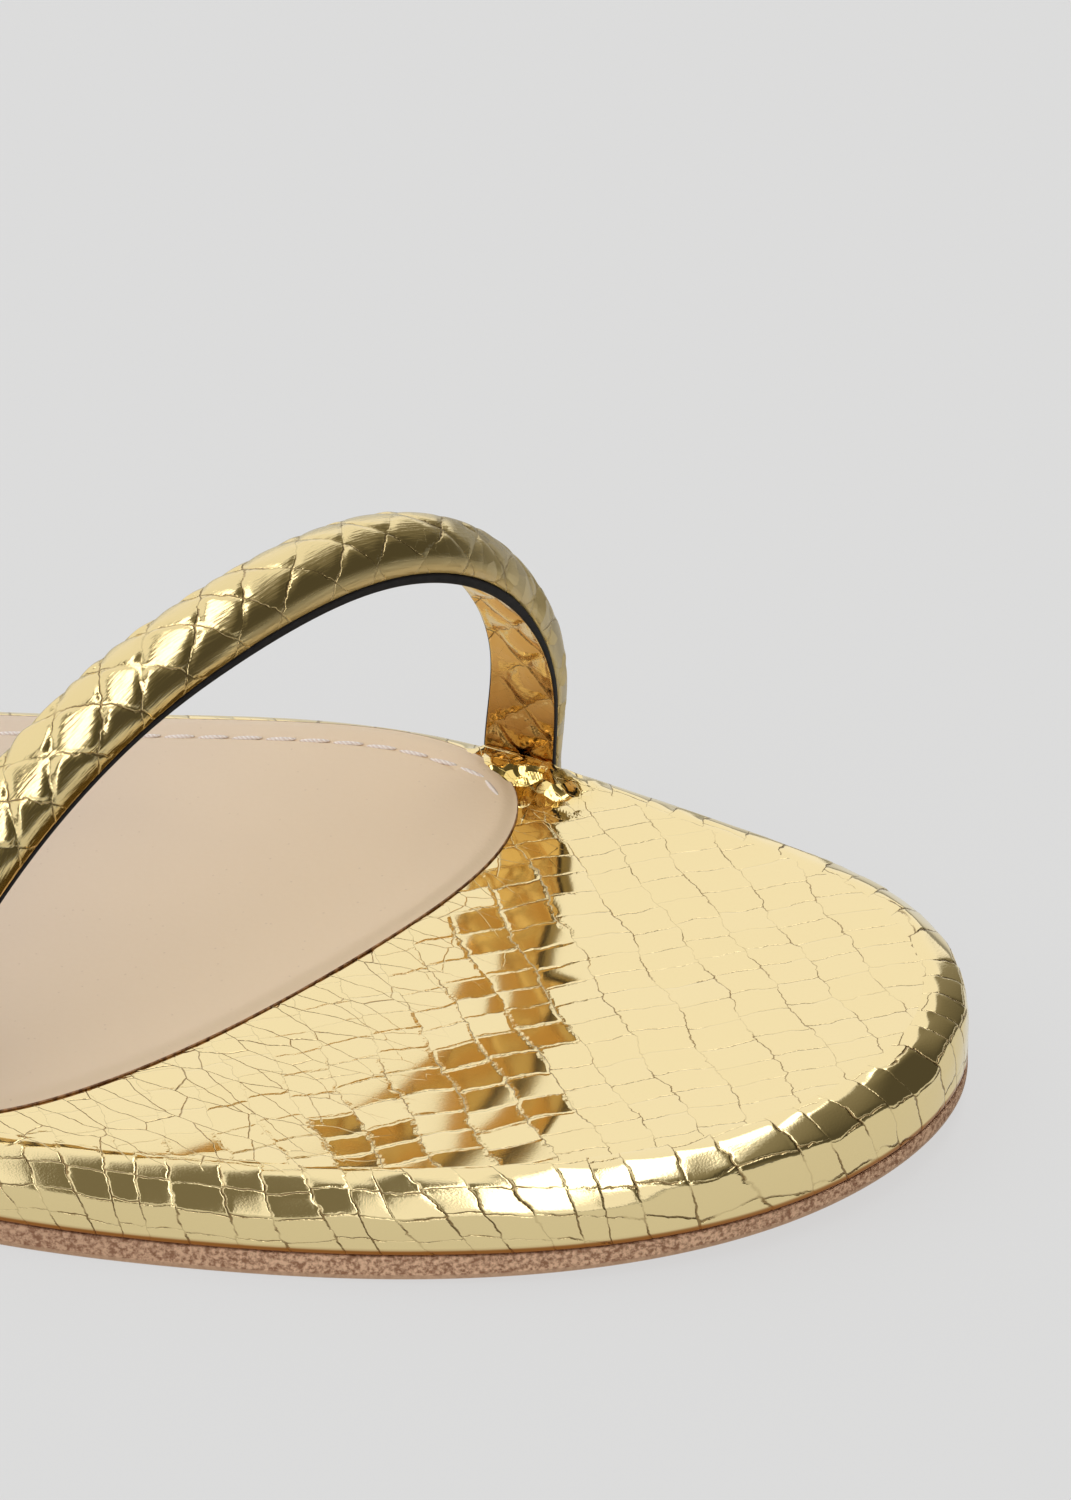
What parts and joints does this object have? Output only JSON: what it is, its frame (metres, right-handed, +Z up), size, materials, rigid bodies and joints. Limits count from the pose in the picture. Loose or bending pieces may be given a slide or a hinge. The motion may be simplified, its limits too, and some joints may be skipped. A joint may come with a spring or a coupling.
{
  "type": "flat sandal",
  "caption": "Flat open sandal for the right foot: a wrapped footbed on a leather outsole, with a padded strap slanting over the toes.",
  "frame": {"origin": "on the floor, under the middle of the sandal's box", "axes": "+X from heel to toe, +Y towards the inner side of the foot, +Z up"},
  "size_m": [0.242, 0.0868, 0.0491],
  "materials": {
    "sole_leather": "raw tan sole leather, matt, fibrous cut edge",
    "gold_scale_leather": "mirror gold foil embossed with scales",
    "nude_leather": "smooth nude lining leather, satin",
    "gold_strap_leather": "mirror gold foil embossed with scales, padded",
    "gold_lining_leather": "gold foil strip with black painted edges"
  },
  "bodies": {
    "root": {"outsole": "sole_leather", "footbed": "gold_scale_leather", "insole": "nude_leather", "strap": "gold_strap_leather", "strap_lining": "gold_lining_leather"}
  },
  "joints": []
}
